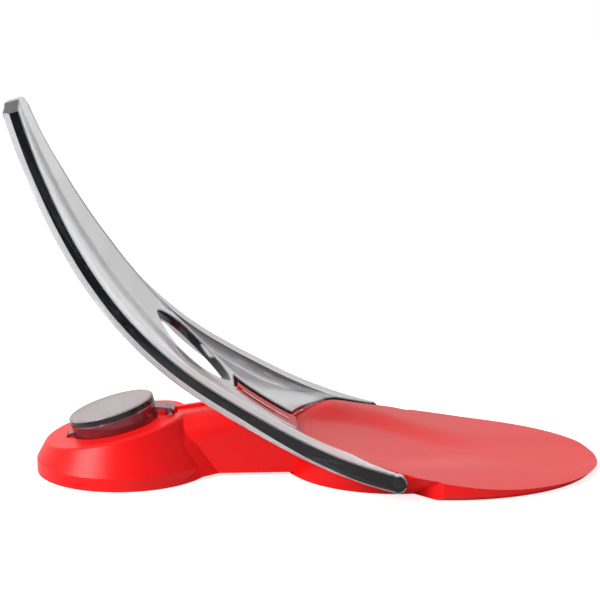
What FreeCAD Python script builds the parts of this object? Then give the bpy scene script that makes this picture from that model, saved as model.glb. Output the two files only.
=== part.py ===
"""Egg slicer with a scoop, a see-through press lever and a lidded egg piercer.

Frame: +X runs toward the scoop tip, +Y is the width, +Z is up.  The origin is on the table
under the middle of the whole slicer.  All sizes are in millimetres, all angles in degrees.
"""
import FreeCAD, Part
import math
import os

V = FreeCAD.Vector
Y_AXIS = V(0, 1, 0)
Z_AXIS = V(0, 0, 1)

# ---- driving sizes: scoop and right pedestal -----------------------------------------------
SCOOP_TIP_X = 101.6          # farthest point of the scoop
SCOOP_ROOT_X = -8.1          # where the scoop outline starts, under the lever
SCOOP_HALF_WIDTH = 47.8
PEDESTAL_R_X = 28.0          # centre of the round foot under the scoop root
PEDESTAL_R_RADIUS = 38.0
FLARE_TOP = 8.0              # height at which the foot has flared out to the scoop outline
SKIRT_X = 41.0               # the scoop stands on its own skirt beyond this
SKIRT_RUN = 9.0              # the skirt starts on a slant this long
SKIRT_INSET = 2.0            # the foot of the skirt lies this far inside the rim
SKIRT_RISE = 2.0
# (x, height) of the rim, and of the bowl along the middle
RIM = ((-20, 13.4), (-8, 13.5), (2, 14.1), (8, 14.3), (12, 13.5), (17, 12.0), (23, 10.3),
       (29, 9.0), (40, 6.7), (55, 4.4), (66, 3.3), (86, 2.4), (104, 2.1), (112, 2.0))
BOWL = ((-20, 14.2), (-8, 13.2), (4, 10.9), (14, 8.8), (26, 6.4), (38, 4.7), (50, 3.6),
        (66, 2.8), (86, 2.1), (104, 1.8), (112, 1.7))
# (x, share of the half width) where the wall of the hollow reaches the flatter flange
HOLLOW = ((-20, 0.95), (16, 0.92), (26, 0.86), (35, 0.74), (44, 0.60), (54, 0.52), (70, 0.62),
          (90, 0.85), (112, 0.95))
HOLLOW_WALL = 0.46           # width of that wall, as a share of the half width
FLANGE_FALL = 0.12           # share of the depth that the flange falls before the wall
BOWL_MARGIN = 8.2            # the bowl surface runs on past the outline by this much
ROOT_HALF_WIDTH = 16.0       # half width of the hollow where the outline closes at the root

# ---- driving sizes: left pedestal, neck and saddle -----------------------------------------
PEDESTAL_L_EDGE_X = -34.7    # edge of the left pedestal toward the neck
PEDESTAL_L_RADIUS = 30.8
SKIRT_HEIGHT = 4.8
CONE_DRAFT = 0.55            # the cone closes in by this much per unit of height
DECK_Z = 16.5                # height of the sloping deck over the centre of its pedestal
DECK_SLOPE = 0.22
DECK_ROUND = 1.2
NECK_START = 17.7            # from the pedestal centre, where the deck turns into the neck top
NECK_END_DROP = 2.17         # the neck top ends this far below the lever's clearance line
NECK_HALF_WIDTH = 14.0
NECK_GROUND = 1.3            # the neck bridges this far above the table
NECK_ROUND = 8.5
TROUGH_HALF_WIDTH = 4.4      # shallow trough along the top of the neck
TROUGH_DEPTH = 0.8
WEB_ANGLE = 50.0             # where the web between cone and neck leaves the cone
WEB_LOW_REACH = 1.7          # the web's foot ends this far beyond the pedestal edge
WEB_HIGH = 19.0              # and its top this far from the pedestal centre
SHELL_BOTTOM = 0.3           # the rubber pads hold the shell this far off the table
WALL = 2.4

# ---- driving sizes: lever ------------------------------------------------------------------
HINGE_X = 25.2
HINGE_Z = 7.0
HINGE_ANGLE = 13.1           # angle of the hinge on the lever arc, from straight down
TIP_ANGLE = 74.9
ARC_OUTER = 173.8            # radius of the underside of the rails
RAIL_DEPTH = 5.8
HINGE_EYE_RADIUS = 3.1
FLOOR_DEPTH = 3.4
TIP_THICKER = ((62.0, 0.0), (66.0, 0.6), (71.0, 2.0), (74.0, 2.2))   # extra floor near the tip
EDGE_TOP = 0.5
EDGE_LOW = ((13.1, 0.7), (22.0, 1.4))   # lower chamfer of the rails, smaller at the hinge
INNER_WALL = 1.2             # sideways run of the wall between rail and floor
TIP_CORNER_ACROSS = 9.5
TIP_CORNER_ALONG = 2.8
# angle, half width beyond the scoop's, rail band, crease half width, crease rise, valley drop,
# lift off the arc
LEVER_ROWS = (
    (74.9, -32.8, 3.4, 8.0, 0.2, 0.3, 0.0),
    (71.0, -28.0, 4.4, 11.0, 0.9, 0.4, 0.5),
    (65.0, -21.4, 6.0, 15.5, 1.9, 0.6, 0.8),
    (60.0, -15.9, 7.4, 19.0, 2.5, 1.0, 0.6),
    (55.0, -11.0, 8.5, 21.5, 2.9, 1.5, 0.3),
    (50.0, -7.5, 9.0, 22.8, 2.8, 2.0, 0.0),
    (45.0, -5.5, 9.3, 23.4, 2.0, 2.5, 0.0),
    (40.0, -4.4, 9.6, 23.2, 0.8, 3.0, 0.3),
    (37.0, -3.8, 9.8, 21.4, -0.4, 3.2, 0.7),
    (34.0, -3.0, 10.0, 17.5, -2.0, 3.4, 1.2),
    (31.0, -2.1, 10.0, 14.0, -3.6, 3.7, 1.5),
    (28.0, -1.2, 10.0, 13.0, -4.4, 4.0, 1.5),
    (24.0, -0.1, 10.0, 13.0, -5.0, 3.2, 1.1),
    (20.0, 0.7, 10.0, 13.0, -4.6, 1.3, 0.7),
    (17.5, 1.1, 10.0, 13.0, -4.0, 0.6, 0.4),
    (13.1, 1.6, 10.0, 13.0, -3.4, 0.4, 0.0),
)
FORK_GAP = 1.7               # lever to scoop outline, seen from above
LIP_REACH = 0.5              # above the rim, the lever floor reaches this far over the outline
LIP_Z = 14.7                 # height where that starts
WINDOW_ANGLE = 44.95         # upper end of the egg-shaped window
# distance below the upper end, half width
WINDOW = ((0.0, 0.0), (1.6, 7.6), (5.2, 14.2), (9.0, 18.6), (13.5, 20.7), (18.0, 20.2),
          (22.4, 18.4), (26.8, 15.2), (30.6, 11.0), (33.6, 5.6), (34.7, 0.0))
NOTCH_ANGLE = 32.5           # closed end of the blade slot
NOTCH_HALF_WIDTH = 10.0

# ---- driving sizes: ribs, blade and hinge pins ---------------------------------------------
RIB_START_ANGLE = 31.7
RIB_END_ANGLE = 23.6
RIB_HALF_WIDTH = 8.4
RIB_SINK = 0.9               # rib tops lie this far below the lever floor
CHANNEL_HALF_WIDTH = 2.3
CHANNEL_DEPTH = 3.2
BLADE_THICK = 1.2
BLADE_DEPTH = 9.0
BLADE_PIN_RADIUS = 1.0
BLADE_PIN_ANGLES = (30.0, 26.0)
FLOOR_GAP = 0.6              # lever floor to saddle
HINGE_PIN_RADIUS = 1.5
HINGE_PIN_BURIED = 11.2      # each pin reaches this far in from the scoop's half width
HINGE_PIN_COVER = 2.0        # lever material left outside each pin
RUNNING_GAP = 0.06
SEAT_GAP = 0.3

# ---- driving sizes: piercer under its lid --------------------------------------------------
LID_BACK = 4.9               # centre of the lid top, this far behind the pedestal centre
LID_Z = 22.5
LID_TILT = 16.0
LID_RADIUS = 15.2
LID_HEIGHT = 8.0
LID_WALL = 1.9
LID_TOP = 2.4
LID_EDGE = 0.5
LID_GAP = 1.0                # lid to the wall of its recess
LID_FLOOR_GAP = 0.4
TAB_HALF_WIDTH = 4.0
TAB_THICK = 1.7
LID_PIN_FRONT = 15.9         # the lid's hinge pin, this far in front of it
LID_PIN_Z = 20.3
LID_PIN_RADIUS = 0.9
KNUCKLE_RADIUS = 1.8
LID_PIN_HALF_LENGTH = 8.0
FINGER_REACH = 1.6
FINGER_HALF_WIDTH = 3.5
DISH_RADIUS = 10.5
DISH_HEIGHT = 2.4
DISH_HOLLOW = 1.5
STUD_RADIUS = 3.0
NEEDLE_RADIUS = 0.7
NEEDLE_REACH = 4.6

# ---- driving sizes: covers, screws and pads ------------------------------------------------
COVER_THICK = 2.0
COVER_GAP = 0.3
COVER_LEDGE = 2.2            # how far a cover sits inside its pedestal wall
SCREW_RADIUS = 1.25
SCREW_HEAD_RADIUS = 2.5
SCREW_HEAD_HEIGHT = 1.3
SCREW_LENGTH = 5.4
BOSS_RADIUS = 3.2
PAD_RADIUS = 5.0
PAD_HEIGHT = 1.6
PAD_SINK = 1.3               # depth of a pad in its cover
# places from the centre of each pedestal
SCREW_SPOTS_L = ((-12.5, 12.0), (-12.5, -12.0), (15.0, 0.0))
SCREW_SPOTS_R = ((-26.0, 0.0), (0.0, 31.0), (0.0, -31.0))
PAD_SPOTS_L = ((-19.0, 0.0), (6.5, 17.5), (6.5, -17.5))
PAD_SPOTS_R = ((-16.0, 0.0), (18.5, 20.0), (18.5, -20.0))

# ---- sizes that follow from the ones above -------------------------------------------------
ARC_MIDDLE = ARC_OUTER - RAIL_DEPTH / 2
ARC_TOP = ARC_OUTER - RAIL_DEPTH
ARC_X = HINGE_X + ARC_MIDDLE * math.sin(math.radians(HINGE_ANGLE))
ARC_Z = HINGE_Z + ARC_MIDDLE * math.cos(math.radians(HINGE_ANGLE))
SCOOP_X = (SCOOP_TIP_X + SCOOP_ROOT_X) / 2
SCOOP_HALF_LENGTH = (SCOOP_TIP_X - SCOOP_ROOT_X) / 2
COVER_TOP = SHELL_BOTTOM + COVER_THICK
HINGE_PIN_INNER_Y = SCOOP_HALF_WIDTH - HINGE_PIN_BURIED
LEVER_STATIONS = tuple((row[0], SCOOP_HALF_WIDTH + row[1]) + row[2:] for row in LEVER_ROWS)
PEDESTAL_L_X = PEDESTAL_L_EDGE_X - PEDESTAL_L_RADIUS
NECK_START_X = PEDESTAL_L_X + NECK_START
WEB_LOW_X = PEDESTAL_L_EDGE_X + WEB_LOW_REACH
WEB_HIGH_X = PEDESTAL_L_X + WEB_HIGH
LID_X = PEDESTAL_L_X - LID_BACK
LID_PIN_X = PEDESTAL_L_X + LID_PIN_FRONT
SCREWS_L = [(PEDESTAL_L_X + x, y) for x, y in SCREW_SPOTS_L]
SCREWS_R = [(PEDESTAL_R_X + x, y) for x, y in SCREW_SPOTS_R]
PADS_L = [(PEDESTAL_L_X + x, y) for x, y in PAD_SPOTS_L]
PADS_R = [(PEDESTAL_R_X + x, y) for x, y in PAD_SPOTS_R]


def rows(table, x, column=1):
    """Value of a column of a table at x, by straight lines between its rows."""
    ordered = sorted(table)
    if x <= ordered[0][0]:
        return ordered[0][column]
    for low, high in zip(ordered, ordered[1:]):
        if x <= high[0]:
            share = (x - low[0]) / (high[0] - low[0])
            return low[column] + share * (high[column] - low[column])
    return ordered[-1][column]


def arc_point(angle, radius, y=0.0):
    """Point at an angle from straight down and a radius about the lever arc centre."""
    a = math.radians(angle)
    return V(ARC_X - radius * math.sin(a), y, ARC_Z - radius * math.cos(a))


def polygon(points):
    return Part.makePolygon(list(points) + [points[0]])


def slab(points, half_width, middle=0.0):
    """Solid from a closed outline in the XZ plane, spread along Y."""
    face = Part.Face(polygon([V(p[0], middle - half_width, p[1]) for p in points]))
    return face.extrude(V(0, 2 * half_width, 0))


def scoop_outline(grow, z):
    """Elliptical outline of the scoop at a height, grown outward (or inward when negative)."""
    long_half = SCOOP_HALF_LENGTH + grow
    wide_half = SCOOP_HALF_WIDTH + grow
    curve = Part.Ellipse(V(0, 0, 0), max(long_half, wide_half), min(long_half, wide_half))
    wire = Part.Wire(curve.toShape())
    if wide_half > long_half:
        wire.rotate(V(0, 0, 0), Z_AXIS, 90)
    wire.translate(V(SCOOP_X, 0, z))
    return wire


def ellipse_prism(grow, bottom, top):
    """Upright prism over the scoop outline, grown outward (or inward when negative)."""
    return Part.Face(scoop_outline(grow, bottom)).extrude(V(0, 0, top - bottom))


def box(x0, x1, y0, y1, z0, z1):
    return Part.makeBox(x1 - x0, y1 - y0, z1 - z0, V(x0, y0, z0))


def smooth_rows(table, x):
    """Value of a table at x, on a smooth curve through its rows."""
    if x <= table[0][0]:
        return table[0][1]
    if x >= table[-1][0]:
        return table[-1][1]
    i = max(k for k in range(len(table) - 1) if table[k][0] <= x)
    span = table[i + 1][0] - table[i][0]
    slopes = []
    for k in (i, i + 1):
        before = table[max(k - 1, 0)]
        after = table[min(k + 1, len(table) - 1)]
        slopes.append((after[1] - before[1]) / (after[0] - before[0]))
    t = (x - table[i][0]) / span
    start = (2 * t - 3) * t * t + 1
    end = (3 - 2 * t) * t * t
    lean_in = ((t - 2) * t + 1) * t * span
    lean_out = (t - 1) * t * t * span
    return (start * table[i][1] + end * table[i + 1][1] + lean_in * slopes[0]
            + lean_out * slopes[1])


def half_width(x):
    """Half width of the scoop outline at x."""
    share = min(1.0, abs(x - SCOOP_X) / SCOOP_HALF_LENGTH)
    return SCOOP_HALF_WIDTH * math.sqrt(1.0 - share * share)


def bowl_height(x, y, sink=0.0):
    """Height of the bowl: a hollow with an S-shaped wall that rises to a flange at the rim."""
    across = min(1.0, abs(y) / max(half_width(x), ROOT_HALF_WIDTH))
    foot = smooth_rows(HOLLOW, x) - HOLLOW_WALL
    up = min(1.0, max(0.0, (across - foot) / HOLLOW_WALL))
    climb = (1 - FLANGE_FALL) * (3 - 2 * up) * up * up + FLANGE_FALL * across * across
    low = smooth_rows(BOWL, x)
    return low + (smooth_rows(RIM, x) - low) * climb - sink


def above_surface(height_at, x0, x1, y_half, top):
    """Solid between a smooth height map and a flat top."""
    xs = [x0 + (x1 - x0) * i / 30 for i in range(31)]
    ys = [-y_half + 2 * y_half * j / 28 for j in range(29)]
    grid = [[V(x, y, height_at(x, y)) for y in ys] for x in xs]
    surface = Part.BSplineSurface()
    surface.interpolate(grid)
    sheet = surface.toShape()
    tall = sheet.extrude(V(0, 0, 2 * top))
    return tall.common(box(x0, x1, -y_half, y_half, -10, top))


def neck_end():
    """Where the neck reaches the clearance line under the lever floor."""
    return arc_point(RIB_START_ANGLE, under_floor(RIB_START_ANGLE))


def deck_height(x):
    """Height of the deck round the lid and of the flatter neck top beyond it."""
    if x <= NECK_START_X:
        return DECK_Z + DECK_SLOPE * (x - PEDESTAL_L_X)
    start = DECK_Z + DECK_SLOPE * NECK_START
    end = neck_end()
    slope = (end.z - NECK_END_DROP - start) / (end.x - NECK_START_X)
    return start + slope * (x - NECK_START_X)


def above_deck(drop):
    """Everything above the deck and the neck top, lowered by a drop."""
    xs = (PEDESTAL_L_X - 60, NECK_START_X, PEDESTAL_L_X + 60)
    line = [(x, deck_height(x) - drop) for x in xs]
    return slab(line + [(xs[2], 80), (xs[0], 80)], 50)


def floor_rise(angle):
    return rows(LEVER_STATIONS, angle, 4)


def rail_top(angle):
    """Radius of the upper face of the rails."""
    return ARC_TOP - rows(LEVER_STATIONS, angle, 6)


def rib_top(angle):
    return rail_top(angle) - floor_rise(angle) + RIB_SINK


def under_floor(angle):
    """Radius of the saddle, clear of the lowest part of the lever floor."""
    lowest = min(floor_rise(angle), -rows(LEVER_STATIONS, angle, 5)) - FLOOR_DEPTH
    return rail_top(angle) - lowest + FLOOR_GAP


def lid_place(shape):
    """Move a shape from the lid's own frame (top centre, axis up) into place."""
    shape.rotate(V(0, 0, 0), Y_AXIS, -LID_TILT)
    shape.translate(V(LID_X, 0, LID_Z))
    return shape


def left_pedestal(inset, roof_drop):
    """Skirt and cone of the left pedestal, cut by the sloping deck."""
    radius = PEDESTAL_L_RADIUS - inset
    tall = 40.0
    top_radius = radius - CONE_DRAFT * (tall - SKIRT_HEIGHT)
    at = V(PEDESTAL_L_X, 0, 0)
    skirt = Part.makeCylinder(radius, SKIRT_HEIGHT, at)
    cone = Part.makeCone(radius, top_radius, tall - SKIRT_HEIGHT, at + V(0, 0, SKIRT_HEIGHT))
    body = skirt.fuse(cone).removeSplitter()
    return body.cut(above_deck(roof_drop))


def rounded_deck(body):
    """Round the edge between cone and deck."""
    edges = [e for e in body.Edges
             if e.BoundBox.ZMin > SKIRT_HEIGHT + 1 and e.BoundBox.YLength > 20]
    return body.makeFillet(DECK_ROUND, edges)


def neck():
    """Bridge between the pedestals, round-shouldered, rising gently toward the lever."""
    x0 = NECK_START_X
    x1 = neck_end().x
    body = slab(((x0, NECK_GROUND), (x1, NECK_GROUND), (x1, deck_height(x1)),
                 (x0, deck_height(x0))), NECK_HALF_WIDTH)
    top_edges = [e for e in body.Edges
                 if e.BoundBox.XLength > 10 and e.BoundBox.ZMin > NECK_GROUND + 5]
    shoulders = body.makeFillet(NECK_ROUND, top_edges)
    inner = slab(((PEDESTAL_L_X, NECK_GROUND), (x0 + 1, NECK_GROUND),
                  (x0 + 1, deck_height(x0) - 2), (PEDESTAL_L_X, deck_height(PEDESTAL_L_X) - 2)),
                 NECK_HALF_WIDTH)
    return shoulders.fuse(inner)


def web():
    """Slanting fill between the cone and the sides of the neck."""
    a = math.radians(WEB_ANGLE)
    top = deck_height(WEB_HIGH_X)
    middle = top - NECK_ROUND
    share = (middle - NECK_GROUND) / (top - NECK_GROUND)
    high_radius = PEDESTAL_L_RADIUS - CONE_DRAFT * (top - SKIRT_HEIGHT)
    low = (NECK_GROUND, PEDESTAL_L_RADIUS, WEB_LOW_X, NECK_HALF_WIDTH)
    half = (middle, PEDESTAL_L_RADIUS + share * (high_radius - PEDESTAL_L_RADIUS),
            WEB_LOW_X + share * (WEB_HIGH_X - WEB_LOW_X), NECK_HALF_WIDTH)
    high = (top, high_radius, WEB_HIGH_X, NECK_HALF_WIDTH - 0.55 * NECK_ROUND)
    wires = []
    for z, radius, x, y in (low, half, high):
        root_x = PEDESTAL_L_X + radius * math.cos(a)
        root_y = radius * math.sin(a)
        wires.append(polygon([V(root_x, -root_y, z), V(x, -y, z), V(x, y, z),
                              V(root_x, root_y, z)]))
    return Part.makeLoft(wires, True, True).cut(above_deck(0.0))


def trough():
    """Shallow trough along the top of the neck, behind the lid hinge."""
    x0 = LID_PIN_X
    x1 = neck_end().x - 5.0
    xs = (x0, NECK_START_X, x1)
    line = [(x, deck_height(x) - TROUGH_DEPTH) for x in xs]
    return slab(line + [(x1, 40), (x0, 40)], TROUGH_HALF_WIDTH)


def saddle():
    """Block under the lever floor, with the two ribs that stand in the blade slot."""
    steps = 9
    span = RIB_START_ANGLE - RIB_END_ANGLE
    angles = [RIB_START_ANGLE - span * i / (steps - 1) for i in range(steps)]
    start = neck_end()
    low = [(p.x, p.z) for p in (arc_point(a, under_floor(a)) for a in angles)]
    end_x = low[-1][0]
    left_x = start.x - 0.5
    block = slab([(left_x, NECK_GROUND), (left_x, deck_height(left_x) - 0.4)] + low
                 + [(end_x + 6, low[-1][1]), (end_x + 6, NECK_GROUND)], NECK_HALF_WIDTH)
    high = [(p.x, p.z) for p in (arc_point(a, rib_top(a)) for a in angles)]
    foot = [(end_x, NECK_GROUND + 2), (start.x, NECK_GROUND + 2)]
    ribs = slab(high + foot, RIB_HALF_WIDTH)
    return block.fuse(ribs)


def right_mass():
    """Flared foot and scoop, before the bowl is sunk into them."""
    foot = Part.Wire(Part.Circle(V(PEDESTAL_R_X, 0, SHELL_BOTTOM), Z_AXIS,
                                 PEDESTAL_R_RADIUS).toShape())
    flare = Part.makeLoft([foot, scoop_outline(0.0, FLARE_TOP)], True, True)
    upper = ellipse_prism(0.0, FLARE_TOP, 40)
    lower = scoop_outline(-SKIRT_INSET, SHELL_BOTTOM)
    higher = scoop_outline(0.0, SHELL_BOTTOM + SKIRT_RISE)
    skirt = Part.makeLoft([lower, higher], True, True).fuse(
        ellipse_prism(0.0, SHELL_BOTTOM + SKIRT_RISE, FLARE_TOP))
    reach = ((SKIRT_X - SKIRT_RUN - 4, 30), (SKIRT_X - SKIRT_RUN, 38), (SKIRT_X, 48),
             (SKIRT_X, 80), (SCOOP_TIP_X + 5, 80))
    spots = [V(x, y, 0) for x, y in reach] + [V(x, -y, 0) for x, y in reversed(reach)]
    skirt = skirt.common(Part.Face(polygon(spots)).extrude(V(0, 0, FLARE_TOP)))
    mass = flare.fuse([upper, skirt])
    bowl = above_surface(bowl_height, SCOOP_ROOT_X - 8, SCOOP_TIP_X + 8,
                         SCOOP_HALF_WIDTH + BOWL_MARGIN, 45)
    return mass.cut(bowl)


def lid_recess():
    """Pocket the lid sits in, with room for its tab and finger edge."""
    deep = LID_HEIGHT + LID_FLOOR_GAP
    pocket = Part.makeCylinder(LID_RADIUS + LID_GAP, 30, V(0, 0, -deep))
    finger = Part.makeBox(12, 2 * FINGER_HALF_WIDTH + 2, 30,
                          V(-LID_RADIUS - FINGER_REACH - 0.8, -FINGER_HALF_WIDTH - 1, -deep))
    pocket = lid_place(pocket.fuse(finger))
    x0 = LID_PIN_X - KNUCKLE_RADIUS - 4.5
    x1 = LID_PIN_X + KNUCKLE_RADIUS + 0.6
    floor = LID_PIN_Z - KNUCKLE_RADIUS - 0.6
    trench = box(x0, x1, -TAB_HALF_WIDTH - 0.4, TAB_HALF_WIDTH + 0.4, floor, 40)
    return pocket.fuse(trench)


def screw_bosses(places, roof):
    return [Part.makeCylinder(BOSS_RADIUS, roof - COVER_TOP, V(x, y, COVER_TOP))
            for x, y in places]


def screw_hole(x, y):
    return Part.makeCylinder(SCREW_RADIUS, SCREW_LENGTH, V(x, y, SHELL_BOTTOM + 0.6))


def cover_radius_left():
    return PEDESTAL_L_RADIUS - COVER_LEDGE


def cover_radius_right():
    return PEDESTAL_R_RADIUS - COVER_LEDGE


def left_cavity():
    """Hollow of the left pedestal, kept clear of the lid recess and the screw bosses."""
    deep = LID_HEIGHT + LID_FLOOR_GAP + WALL
    hollow = left_pedestal(WALL, WALL + 0.4)
    keep = lid_place(Part.makeCylinder(LID_RADIUS + LID_GAP + WALL, 40, V(0, 0, -deep)))
    floor = LID_PIN_Z - KNUCKLE_RADIUS - 0.6 - WALL
    bridge = box(LID_PIN_X - 8, LID_PIN_X + 8, -11, 11, floor, 40)
    below = box(PEDESTAL_L_X - 40, PEDESTAL_L_X + 40, -40, 40, -1, COVER_TOP)
    hollow = hollow.cut([keep, bridge, below])
    return hollow.cut(screw_bosses(SCREWS_L, 30))


def right_cavity():
    """Hollow of the right pedestal, a wall thickness under the bowl."""
    radius = PEDESTAL_R_RADIUS - WALL
    column = Part.makeCylinder(radius, 30, V(PEDESTAL_R_X, 0, COVER_TOP))
    skin = above_surface(lambda x, y: bowl_height(x, y, WALL), SCOOP_ROOT_X - 8,
                         SCOOP_TIP_X + 8, SCOOP_HALF_WIDTH + BOWL_MARGIN, 45)
    hollow = column.cut(skin)
    left = PEDESTAL_R_X - radius
    hollow = hollow.cut(box(left - 5, left + 5.5, -50, 50, 0, 45))
    return hollow.cut(screw_bosses(SCREWS_R, 30))


def neck_cavity():
    """Hollow of the bridge neck and saddle, open downward, clear of the blade."""
    left = arc_point(RIB_START_ANGLE, rib_top(RIB_START_ANGLE) + BLADE_DEPTH + WALL)
    right = arc_point(RIB_END_ANGLE + 1, rib_top(RIB_END_ANGLE) + BLADE_DEPTH + WALL)
    x0 = PEDESTAL_L_EDGE_X + 1.0
    outline = ((x0, 0), (x0, left.z), (left.x, left.z), (right.x, right.z), (right.x, 0))
    return slab(outline, NECK_HALF_WIDTH - WALL)


def lid_pin_line(radius, half_length):
    return Part.makeCylinder(radius, 2 * half_length, V(LID_PIN_X, -half_length, LID_PIN_Z),
                             Y_AXIS)


def blade_outline(grow):
    """Side outline of the blade: it follows the rib tops and runs down into the saddle."""
    angles = [RIB_START_ANGLE - 0.6 - (RIB_START_ANGLE - RIB_END_ANGLE - 1.6) * i / 6
              for i in range(7)]
    top = [(p.x, p.z) for p in (arc_point(a, rib_top(a) - 0.2) for a in angles)]
    low = [(p.x, p.z) for p in (arc_point(a, rib_top(a) + BLADE_DEPTH) for a in angles)]
    if grow:
        top = [(x, z + grow) for x, z in top]
    return top + list(reversed(low))


def blade_pins(radius, half_length):
    pins = []
    for angle in BLADE_PIN_ANGLES:
        at = arc_point(angle, rib_top(angle) + CHANNEL_DEPTH + 2.6, -half_length)
        pins.append(Part.makeCylinder(radius, 2 * half_length, at, Y_AXIS))
    return pins


def base_shell():
    """One-piece base: both pedestals, neck, saddle with ribs, and the scoop."""
    solid = rounded_deck(left_pedestal(0.0, 0.0))
    solid = solid.fuse([neck(), web(), saddle(), right_mass()])
    below = box(-130, 130, -80, 80, -5, SHELL_BOTTOM)
    discs = [Part.makeCylinder(cover_radius_left(), COVER_THICK + 1,
                               V(PEDESTAL_L_X, 0, SHELL_BOTTOM - 1)),
             Part.makeCylinder(cover_radius_right(), COVER_THICK + 1,
                               V(PEDESTAL_R_X, 0, SHELL_BOTTOM - 1))]
    channel_angles = [RIB_START_ANGLE + 2 - 0.9 * i for i in range(9)]
    upper = [(p.x, p.z) for p in (arc_point(a, rib_top(a) - 6) for a in channel_angles)]
    lower = [(p.x, p.z) for p in (arc_point(a, rib_top(a) + CHANNEL_DEPTH)
                                  for a in channel_angles)]
    channel = slab(upper + list(reversed(lower)), CHANNEL_HALF_WIDTH)
    cuts = [below, left_cavity(), right_cavity(), neck_cavity(), lid_recess(), trough(), channel,
            slab(blade_outline(0.0), BLADE_THICK / 2), slab(blade_outline(3.0), BLADE_THICK / 2),
            lid_pin_line(LID_PIN_RADIUS, LID_PIN_HALF_LENGTH)]
    cuts += discs
    cuts += blade_pins(BLADE_PIN_RADIUS, RIB_HALF_WIDTH)
    cuts += [screw_hole(x, y) for x, y in SCREWS_L + SCREWS_R]
    cuts += [hinge_pin(side) for side in (1, -1)]
    cuts.append(lid_place(Part.makeCylinder(STUD_RADIUS, 12, V(0, 0, -LID_HEIGHT - 11))))
    return solid.cut(cuts).removeSplitter()


def hinge_pin(side):
    outer = rows(LEVER_STATIONS, HINGE_ANGLE) - HINGE_PIN_COVER - SEAT_GAP
    length = outer - HINGE_PIN_INNER_Y
    return Part.makeCylinder(HINGE_PIN_RADIUS, length,
                             V(HINGE_X, side * HINGE_PIN_INNER_Y, HINGE_Z), V(0, side, 0))


def lever_section(station):
    """Closed cross-section of the lever at one station, in the plane of that angle."""
    angle, wide, band, crease, rise, valley, lift = station
    inner = wide - band
    depth = FLOOR_DEPTH + rows(TIP_THICKER, angle)
    low = rows(EDGE_LOW, angle)
    half = [(crease, rise), (inner - INNER_WALL, -valley), (inner, 0.0),
            (wide - EDGE_TOP, 0.0), (wide, -EDGE_TOP), (wide, low - RAIL_DEPTH),
            (wide - low, -RAIL_DEPTH), (inner + 0.8, -RAIL_DEPTH),
            (inner - INNER_WALL, -valley - depth), (crease, rise - depth)]
    outline = half + [(-y, r) for y, r in reversed(half)]
    return polygon([arc_point(angle, ARC_TOP - lift - r, y) for y, r in outline])


def window_tool():
    """Egg-shaped prism square to the lever floor."""
    points = []
    for along, half in WINDOW:
        points.append((along, half))
    for along, half in reversed(WINDOW[1:-1]):
        points.append((along, -half))
    middle = WINDOW_ANGLE - math.degrees(WINDOW[-1][0] / 2 / ARC_TOP)
    origin = arc_point(middle, ARC_TOP - 12)
    normal = (arc_point(middle, ARC_TOP + 12) - origin).normalize()
    down = V(normal.z * -1, 0, normal.x).normalize()
    if down.x < 0:
        down = down * -1
    spots = [origin + down * (a - WINDOW[-1][0] / 2) + V(0, y, 0) for a, y in points]
    curve = Part.BSplineCurve()
    curve.interpolate(spots, True)
    return Part.Face(Part.Wire(curve.toShape())).extrude(normal * 24)


def notch_tool():
    """Blade slot, from its closed end to past the end of the floor."""
    angles = [NOTCH_ANGLE - 1.8 * i for i in range(10)]
    top = [(p.x, p.z) for p in (arc_point(a, ARC_TOP - 8) for a in angles)]
    low = [(p.x, p.z) for p in (arc_point(a, ARC_OUTER + 10) for a in angles)]
    return slab(top + list(reversed(low)), NOTCH_HALF_WIDTH)


def tip_corners():
    """Wedges that take the two corners off the lever tip."""
    wide = LEVER_STATIONS[0][1]
    corner = arc_point(TIP_ANGLE, ARC_TOP - 10)
    normal = (arc_point(TIP_ANGLE, ARC_TOP + 12) - corner).normalize()
    down = V(-normal.z, 0, normal.x)
    if down.z > 0:
        down = down * -1
    wedges = []
    for side in (1, -1):
        spots = [corner + down * -3 + V(0, side * (wide - 2 * TIP_CORNER_ACROSS), 0),
                 corner + V(0, side * (wide - TIP_CORNER_ACROSS), 0),
                 corner + down * TIP_CORNER_ALONG + V(0, side * wide, 0),
                 corner + down * (2 * TIP_CORNER_ALONG)
                 + V(0, side * (wide + TIP_CORNER_ACROSS), 0),
                 corner + down * -3 + V(0, side * (wide + TIP_CORNER_ACROSS), 0)]
        wedges.append(Part.Face(polygon(spots)).extrude(normal * 26))
    return wedges


def hinge_eye(side, wide, band):
    """Rounded end of one rail, chamfered outside like the rail itself."""
    edge = rows(EDGE_LOW, HINGE_ANGLE)
    barrel = Part.makeCylinder(HINGE_EYE_RADIUS, band - edge,
                               V(HINGE_X, side * (wide - edge), HINGE_Z), V(0, -side, 0))
    nose = Part.makeCone(HINGE_EYE_RADIUS, HINGE_EYE_RADIUS - edge, edge,
                         V(HINGE_X, side * (wide - edge), HINGE_Z), V(0, side, 0))
    return barrel.fuse(nose)


def lever():
    """See-through press lever with its window, blade slot and hinge fork."""
    body = Part.makeLoft([lever_section(s) for s in LEVER_STATIONS], True, False)
    wide = rows(LEVER_STATIONS, HINGE_ANGLE)
    band = rows(LEVER_STATIONS, HINGE_ANGLE, 2)
    eyes = []
    bores = []
    for side in (1, -1):
        eyes.append(hinge_eye(side, wide, band))
        depth = wide - HINGE_PIN_COVER - HINGE_PIN_INNER_Y
        bores.append(Part.makeCylinder(HINGE_PIN_RADIUS + RUNNING_GAP, depth,
                                       V(HINGE_X, side * HINGE_PIN_INNER_Y, HINGE_Z),
                                       V(0, side, 0)))
    body = body.fuse(eyes)
    cuts = [ellipse_prism(FORK_GAP, -5, LIP_Z), ellipse_prism(-LIP_REACH, -5, 60),
            window_tool(), notch_tool()]
    cuts += tip_corners() + bores
    return body.cut(cuts).removeSplitter()


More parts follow.
